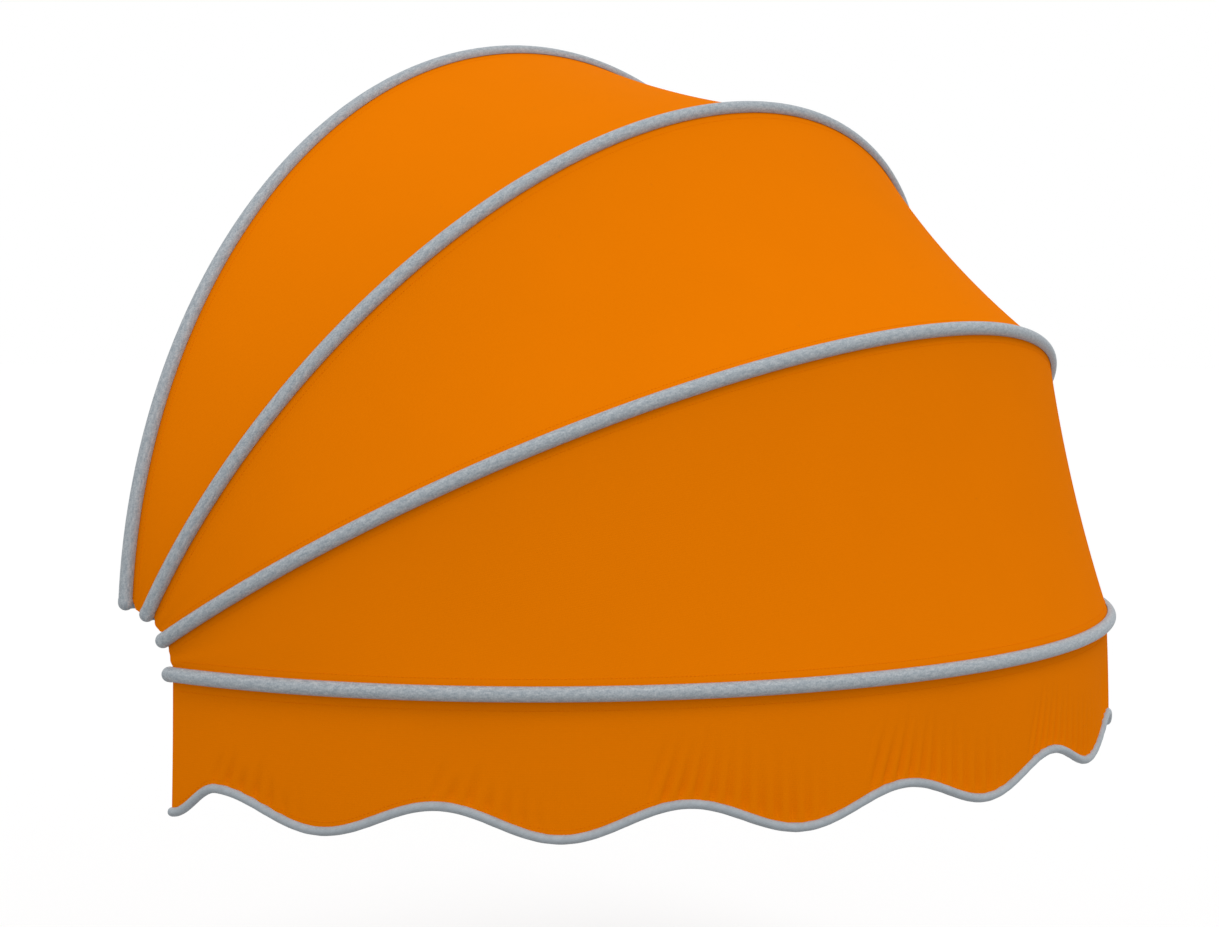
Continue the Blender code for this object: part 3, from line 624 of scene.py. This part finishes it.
class Nodes:
    """A short way to write node trees."""

    def __init__(self, name):
        self.material = bpy.data.materials.new(name)
        self.material.use_nodes = True
        self.tree = self.material.node_tree
        self.shader = self.tree.nodes["Principled BSDF"]

    def add(self, kind, **settings):
        node = self.tree.nodes.new(kind)
        for key, value in settings.items():
            setattr(node, key, value)
        return node

    def link(self, out, into):
        self.tree.links.new(out, into)

    def lay(self, scale=(1, 1, 1), turn=0.0, source="lay"):
        """Places on the flat material, in metres, scaled."""
        if source == "lay":
            start = self.add("ShaderNodeAttribute", attribute_name="lay").outputs["Vector"]
        else:
            start = self.add("ShaderNodeTexCoord").outputs["Object"]
        mapping = self.add("ShaderNodeMapping")
        mapping.inputs["Scale"].default_value = scale
        mapping.inputs["Rotation"].default_value = (0, 0, turn)
        self.link(start, mapping.inputs["Vector"])
        return mapping.outputs["Vector"]

    def noise(self, vector, scale, detail=3.0, roughness=0.55):
        node = self.add("ShaderNodeTexNoise")
        node.inputs["Scale"].default_value = scale
        node.inputs["Detail"].default_value = detail
        node.inputs["Roughness"].default_value = roughness
        self.link(vector, node.inputs["Vector"])
        return node.outputs["Fac"]

    def math(self, operation, a, b=None):
        node = self.add("ShaderNodeMath", operation=operation)
        for socket, value in zip(node.inputs, (a, b)):
            if value is None:
                continue
            if isinstance(value, (int, float)):
                socket.default_value = value
            else:
                self.link(value, socket)
        return node.outputs[0]

    def spread(self, value, low, high, to_low, to_high):
        node = self.add("ShaderNodeMapRange")
        ends = {"From Min": low, "From Max": high, "To Min": to_low, "To Max": to_high}
        for key, number in ends.items():
            node.inputs[key].default_value = number
        self.link(value, node.inputs["Value"])
        return node.outputs["Result"]

    def ramp(self, value, stops):
        node = self.add("ShaderNodeValToRGB")
        ramp = node.color_ramp
        while len(ramp.elements) < len(stops):
            ramp.elements.new(0.5)
        for element, (at, colour) in zip(ramp.elements, stops):
            element.position = at
            element.color = (*colour, 1)
        self.link(value, node.inputs["Fac"])
        return node.outputs["Color"]

    def bump(self, height, strength, distance, after=None):
        node = self.add("ShaderNodeBump")
        node.inputs["Strength"].default_value = strength
        node.inputs["Distance"].default_value = distance
        self.link(height, node.inputs["Height"])
        if after is not None:
            self.link(after, node.inputs["Normal"])
        return node.outputs["Normal"]

    def wave(self, vector, width, direction):
        """Smooth bands, pi widths apart."""
        settings = {"wave_type": "BANDS", "bands_direction": direction, "wave_profile": "SIN"}
        node = self.add("ShaderNodeTexWave", **settings)
        node.inputs["Scale"].default_value = 0.1 / width
        node.inputs["Distortion"].default_value = 0.0
        self.link(vector, node.inputs["Vector"])
        return node.outputs["Fac"]


def awning_cloth(name, colour):
    """Woven solution-dyed cloth: warp and weft ribs, slubs along the threads, a dry sheen."""
    n = Nodes(name)
    lay = n.lay()
    warp = n.wave(lay, WARP_WIDTH, "X")
    weft = n.wave(lay, WEFT_WIDTH, "Y")
    weave = n.math("MULTIPLY", warp, weft)
    slub = n.noise(n.lay((1, 9, 1)), scale=110.0, detail=2.0)
    cross = n.noise(n.lay((9, 1, 1)), scale=90.0, detail=2.0)
    cloudy = n.noise(lay, scale=9.0, detail=3.0)
    shade = n.spread(slub, 0.3, 0.7, -0.016, 0.016)
    shade = n.math("ADD", shade, n.spread(cross, 0.3, 0.7, -0.012, 0.012))
    shade = n.math("ADD", shade, n.spread(cloudy, 0.3, 0.7, -0.02, 0.02))
    shade = n.math("ADD", shade, n.spread(weave, 0.0, 1.0, -0.03, 0.02))
    dark = tuple(c * 0.80 for c in colour)
    light = tuple(min(1.0, c * 1.20) for c in colour)
    tone = n.ramp(n.math("ADD", shade, 0.5), [(0.0, dark), (0.5, colour), (1.0, light)])
    n.link(tone, n.shader.inputs["Base Color"])
    rough = n.spread(slub, 0.2, 0.8, 0.80, 0.92)
    n.link(rough, n.shader.inputs["Roughness"])
    fine = n.bump(weave, strength=0.35, distance=0.0002)
    soft = n.bump(slub, strength=0.12, distance=0.0004, after=fine)
    n.link(soft, n.shader.inputs["Normal"])
    n.shader.inputs["Specular IOR Level"].default_value = 0.004
    n.shader.inputs["Sheen Weight"].default_value = 0.006
    n.shader.inputs["Sheen Roughness"].default_value = 0.5
    n.shader.inputs["Sheen Tint"].default_value = (1.0, 0.35, 0.0, 1)
    return n.material


def mottled_grey(name, colour, metallic, roughness, source="lay", contrast=1.0):
    """Satin grey coat with fine flecks and a soft, streaky mottle."""
    n = Nodes(name)
    across = n.lay((1.0, 2.4, 1.0), math.radians(28), source)
    streak = n.noise(across, scale=120.0, detail=3.0, roughness=0.6)
    fleck = n.noise(n.lay(source=source), scale=520.0, detail=2.0, roughness=0.5)
    tone = n.spread(streak, 0.3, 0.7, -0.4, 0.4)
    tone = n.math("ADD", tone, n.spread(fleck, 0.3, 0.7, -0.35, 0.35))
    tone = n.math("ADD", n.math("MULTIPLY", tone, contrast), 0.5)
    low = tuple(c * share for c, share in zip(colour, (0.72, 0.76, 0.79)))
    high = tuple(c * share for c, share in zip(colour, (1.30, 1.26, 1.22)))
    n.link(n.ramp(tone, [(0.0, low), (0.5, colour), (1.0, high)]), n.shader.inputs["Base Color"])
    rough = n.spread(streak, 0.2, 0.8, roughness - 0.06, roughness + 0.08)
    n.link(rough, n.shader.inputs["Roughness"])
    dents = n.bump(streak, strength=0.10, distance=0.0006)
    dents = n.bump(fleck, strength=0.15, distance=0.0002, after=dents)
    n.link(dents, n.shader.inputs["Normal"])
    n.shader.inputs["Metallic"].default_value = metallic
    n.shader.inputs["Specular IOR Level"].default_value = 0.15
    return n.material


def plain_metal(name, colour, roughness, scratch):
    """Bright fastener steel with fine turning marks."""
    n = Nodes(name)
    grain = n.noise(n.lay(source="object"), scale=scratch, detail=4.0, roughness=0.7)
    cloud = n.noise(n.lay(source="object"), scale=90.0, detail=2.0)
    dark = tuple(c * 0.82 for c in colour)
    n.link(n.ramp(cloud, [(0.3, dark), (0.7, colour)]), n.shader.inputs["Base Color"])
    rough = n.spread(grain, 0.2, 0.8, roughness - 0.08, roughness + 0.1)
    n.link(rough, n.shader.inputs["Roughness"])
    n.link(n.bump(grain, strength=0.2, distance=0.0001), n.shader.inputs["Normal"])
    n.shader.inputs["Metallic"].default_value = 1.0
    return n.material


def nylon(name, dark, light):
    """Slightly cloudy moulded nylon."""
    n = Nodes(name)
    cloud = n.noise(n.lay(source="object"), scale=260.0, detail=3.0)
    n.link(n.ramp(cloud, [(0.3, dark), (0.7, light)]), n.shader.inputs["Base Color"])
    n.link(n.spread(cloud, 0.2, 0.8, 0.45, 0.62), n.shader.inputs["Roughness"])
    n.link(n.bump(cloud, strength=0.2, distance=0.0002), n.shader.inputs["Normal"])
    return n.material


def piping_cloth(name, colour):
    """Grey braided piping: fine slanting ribs round the cord."""
    n = Nodes(name)
    rib = n.wave(n.lay(turn=math.radians(40)), RIB_WIDTH, "X")
    cloud = n.noise(n.lay(), scale=90.0, detail=3.0)
    tone = n.spread(rib, 0.0, 1.0, -0.06, 0.06)
    tone = n.math("ADD", tone, n.spread(cloud, 0.3, 0.7, -0.3, 0.3))
    tone = n.math("ADD", tone, 0.5)
    low = tuple(c * 0.85 for c in colour)
    high = tuple(min(1.0, c * 1.13) for c in colour)
    n.link(n.ramp(tone, [(0.0, low), (0.5, colour), (1.0, high)]), n.shader.inputs["Base Color"])
    n.link(n.spread(cloud, 0.2, 0.8, 0.5, 0.65), n.shader.inputs["Roughness"])
    n.link(n.bump(rib, strength=0.08, distance=0.0001), n.shader.inputs["Normal"])
    n.shader.inputs["Specular IOR Level"].default_value = 0.2
    return n.material


ORANGE = (0.84, 0.200, 0.0003)
GREY = (0.390, 0.431, 0.465)
WARP_WIDTH = 0.00062
WEFT_WIDTH = 0.00078
RIB_WIDTH = 0.0016
CLOTH_MATERIAL = awning_cloth("awning_cloth", ORANGE)
THREAD_MATERIAL = awning_cloth("thread", ORANGE)
TUBE_MATERIAL = mottled_grey("tube_grey", GREY, 0.05, 0.55)
CASTING_MATERIAL = mottled_grey("casting_grey", GREY, 0.05, 0.55, "object", 0.6)
PIPING_MATERIAL = piping_cloth("piping_grey", GREY)
STEEL_MATERIAL = plain_metal("fastener_steel", (0.60, 0.60, 0.61), 0.32, 1400.0)
NYLON_MATERIAL = nylon("washer_nylon", (0.60, 0.60, 0.57), (0.74, 0.74, 0.71))


def dress(ob, material):
    ob.data.materials.clear()
    ob.data.materials.append(material)
    return ob


# Pieces

def fan_blend(ob):
    """Bakes the cloth's place into its mesh; it is tied to neither hoop."""
    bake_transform(ob)


def gather_up(ob):
    """The valance rides on the front hoop, with a mesh of its own."""
    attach(ob, "front_frame")
    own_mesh(ob)


for step, hoop in enumerate(HOOPS):
    tube = dress(hoop_tube(step), TUBE_MATERIAL)
    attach(tube, BODIES[step])
    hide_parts(hoop)
    for side in (-1, 1):
        cap = dress(end_cap(step, side), TUBE_MATERIAL)
        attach(cap, BODIES[step])

for step, label in enumerate(PANELS):
    cloth = dress(sheet_object(f"{label}_cloth", *panel_grid(step)), CLOTH_MATERIAL)
    seams = dress(panel_seams(step), THREAD_MATERIAL)
    fan_blend(cloth)
    fan_blend(seams)
    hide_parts(f"{label}_panel")

valance = dress(sheet_object("valance_cloth", *valance_grid()), CLOTH_MATERIAL)
valance_thread = dress(valance_seams(), THREAD_MATERIAL)
piping = dress(valance_piping(), PIPING_MATERIAL)
for ob in (valance, valance_thread, piping):
    gather_up(ob)
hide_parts("valance")
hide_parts("valance_edging")

# The solids that stay, by the starts of their names
KEPT = {
    "corner_bracket": CASTING_MATERIAL,
    "link": CASTING_MATERIAL,
    "wall_clip": CASTING_MATERIAL,
    "clamp_screw": STEEL_MATERIAL,
    "wall_screw": STEEL_MATERIAL,
    "tube_screw": STEEL_MATERIAL,
    "pivot_bolt": STEEL_MATERIAL,
    "pivot_washer": NYLON_MATERIAL,
}
for name, node in frame["nodes"].items():
    for start, material in KEPT.items():
        if name.startswith(start):
            dress(node, material)


# Stage

WORLD_LIGHT = 0.827
SUN_LIGHT = 0.76
SUN_AZIMUTH = -24
SUN_ELEVATION = 60
SUN_SPREAD = 24
FLOOR_Z = -1.50
FLOOR_HALF = 60.0
FLOOR_COLOUR = 0.44
FLOOR_GLOW = 0.550

# The camera that fits the photo's four hoops; its place from the fan's centre is to the right,
# up and back in its own view, in half widths of the canopy
PHOTO_WIDTH = 1219
FOCAL_PIXELS = 2022
SENSOR_WIDTH = 36.0
CAMERA_AZIMUTH = -51.92
CAMERA_ELEVATION = 3.69
CAMERA_PLACE = (0.1018, 0.2526, 3.788)


def seen_directly(tree):
    """1 for rays that show the background: from the camera, a reflection or through glass."""
    path = tree.nodes.new("ShaderNodeLightPath")
    first = tree.nodes.new("ShaderNodeMath")
    first.operation = "MAXIMUM"
    tree.links.new(path.outputs["Is Camera Ray"], first.inputs[0])
    tree.links.new(path.outputs["Is Glossy Ray"], first.inputs[1])
    both = tree.nodes.new("ShaderNodeMath")
    both.operation = "MAXIMUM"
    tree.links.new(first.outputs[0], both.inputs[0])
    tree.links.new(path.outputs["Is Transmission Ray"], both.inputs[1])
    return both.outputs[0]


def make_world():
    world = bpy.data.worlds.new("studio")
    bpy.context.scene.world = world
    world.use_nodes = True
    tree = world.node_tree
    background = tree.nodes["Background"]
    background.inputs["Color"].default_value = (1, 1, 1, 1)
    strength = tree.nodes.new("ShaderNodeMapRange")
    strength.inputs["To Min"].default_value = WORLD_LIGHT
    strength.inputs["To Max"].default_value = 1.0
    tree.links.new(seen_directly(tree), strength.inputs["Value"])
    tree.links.new(strength.outputs["Result"], background.inputs["Strength"])


def make_floor():
    corners = ((-1, -1), (1, -1), (1, 1), (-1, 1))
    verts = [(x * FLOOR_HALF, y * FLOOR_HALF, FLOOR_Z) for x, y in corners]
    floor = make_object("floor", verts, [(0, 1, 2, 3)])
    material = bpy.data.materials.new("floor_pale")
    material.use_nodes = True
    tree = material.node_tree
    shader = tree.nodes["Principled BSDF"]
    shader.inputs["Base Color"].default_value = (FLOOR_COLOUR, FLOOR_COLOUR, FLOOR_COLOUR, 1)
    shader.inputs["Roughness"].default_value = 1.0
    shader.inputs["Specular IOR Level"].default_value = 0.0
    shader.inputs["Emission Color"].default_value = (1, 1, 1, 1)
    glow = tree.nodes.new("ShaderNodeMath")
    glow.operation = "MULTIPLY"
    glow.inputs[1].default_value = FLOOR_GLOW
    tree.links.new(seen_directly(tree), glow.inputs[0])
    tree.links.new(glow.outputs[0], shader.inputs["Emission Strength"])
    floor.data.materials.append(material)


def towards(azimuth, elevation):
    """The direction at these angles in degrees; 0 is straight out from the wall."""
    a, e = math.radians(azimuth), math.radians(elevation)
    return Vector((math.sin(a) * math.cos(e), -math.cos(a) * math.cos(e), math.sin(e)))


def make_sun():
    lamp = bpy.data.lights.new("key", "SUN")
    lamp.energy = SUN_LIGHT
    lamp.angle = math.radians(SUN_SPREAD)
    ob = bpy.data.objects.new("key", lamp)
    ob.rotation_euler = towards(SUN_AZIMUTH, SUN_ELEVATION).to_track_quat("Z", "Y").to_euler()
    bpy.context.scene.collection.objects.link(ob)


def make_camera():
    """At the photo's view: 52 degrees to the left and a little above."""
    back = towards(CAMERA_AZIMUTH, CAMERA_ELEVATION)
    right = towards(CAMERA_AZIMUTH + 90, 0)
    up = back.cross(right)
    data = bpy.data.cameras.new("camera")
    data.sensor_fit = "HORIZONTAL"
    data.sensor_width = SENSOR_WIDTH
    data.lens = FOCAL_PIXELS / PHOTO_WIDTH * SENSOR_WIDTH
    camera = bpy.data.objects.new("camera", data)
    aside, above, away = CAMERA_PLACE
    at = FAN_CENTRE + (right * aside + up * above + back * away) * HALF_WIDTH
    camera.matrix_world = Matrix.Translation(at) @ Matrix((right, up, back)).transposed().to_4x4()
    bpy.context.scene.collection.objects.link(camera)
    bpy.context.scene.camera = camera


make_world()
make_floor()
make_sun()
make_camera()
bpy.context.scene.view_settings.view_transform = "Standard"
